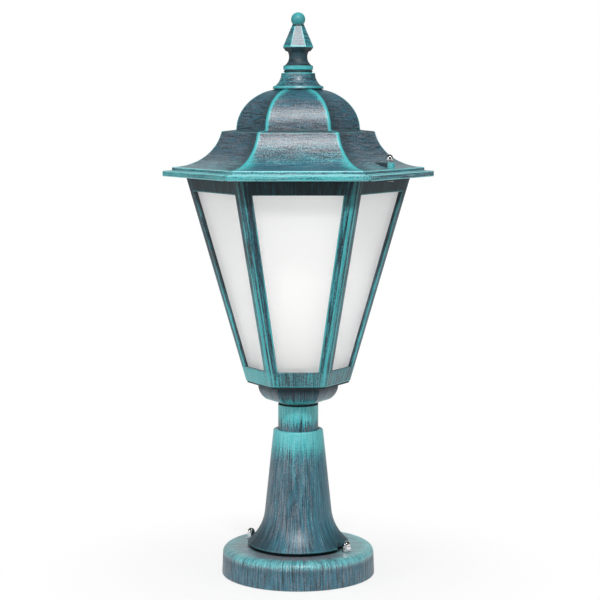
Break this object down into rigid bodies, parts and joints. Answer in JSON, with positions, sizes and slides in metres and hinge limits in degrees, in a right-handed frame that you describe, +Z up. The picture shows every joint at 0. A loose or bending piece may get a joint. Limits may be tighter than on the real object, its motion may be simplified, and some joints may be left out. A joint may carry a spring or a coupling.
{
  "type": "pedestal garden lantern",
  "caption": "Hexagonal garden lantern with a vaulted roof, a finial and frosted panes, on a flared pillar and a round base that bolts down to a bar on the ground.",
  "frame": {"origin": "on the ground, under the middle of the round base", "axes": "+Z up along the lamp's axis; one glass pane faces -Y, and two corners of the hexagon lie on the X axis"},
  "size_m": [0.27, 0.2338, 0.5621],
  "materials": {
    "patina_paint": "die-cast aluminium painted dark slate, dry-brushed with turquoise and a pale pinkish silver",
    "frosted_glass": "satin frosted sheet glass",
    "bright_plating": "bright plated steel, mirror polished",
    "zinc_steel": "zinc-plated mild steel",
    "holder_white": "white glazed lampholder",
    "contact_brass": "plain stamped brass",
    "opal_bulb": "opal white bulb",
    "terminal_plastic": "natural moulded plastic",
    "wire_brown": "brown insulated wire",
    "wire_blue": "blue insulated wire",
    "wire_green": "green and yellow insulated wire"
  },
  "bodies": {
    "root": {"base_disc": "patina_paint", "pillar": "patina_paint", "neck_tube": "patina_paint", "bowl": "patina_paint", "cage": "patina_paint", "roof": "patina_paint", "finial": "patina_paint", "glass_pane_1": "frosted_glass", "glass_pane_2": "frosted_glass", "glass_pane_3": "frosted_glass", "glass_pane_4": "frosted_glass", "glass_pane_5": "frosted_glass", "glass_pane_6": "frosted_glass", "base_cap_nuts": "bright_plating", "base_washers": "bright_plating", "base_bolts": "bright_plating", "base_locknuts": "bright_plating", "roof_cap_nuts": "bright_plating", "roof_bolts": "bright_plating", "ground_bar": "zinc_steel", "pane_clips": "zinc_steel", "clip_screws": "zinc_steel", "finial_stud": "zinc_steel", "finial_washer": "zinc_steel", "finial_nut": "zinc_steel", "tie_rod": "zinc_steel", "rod_washer": "zinc_steel", "rod_lower_nut": "zinc_steel", "rod_upper_nut": "zinc_steel", "cage_strap": "zinc_steel", "terminal_screw": "zinc_steel", "earth_screw": "zinc_steel", "lampholder_body": "holder_white", "lampholder_shell": "contact_brass", "lampholder_contact": "contact_brass", "bulb": "opal_bulb", "terminal_block": "terminal_plastic", "live_wire": "wire_brown", "neutral_wire": "wire_blue", "earth_wire": "wire_green"}
  },
  "joints": []
}
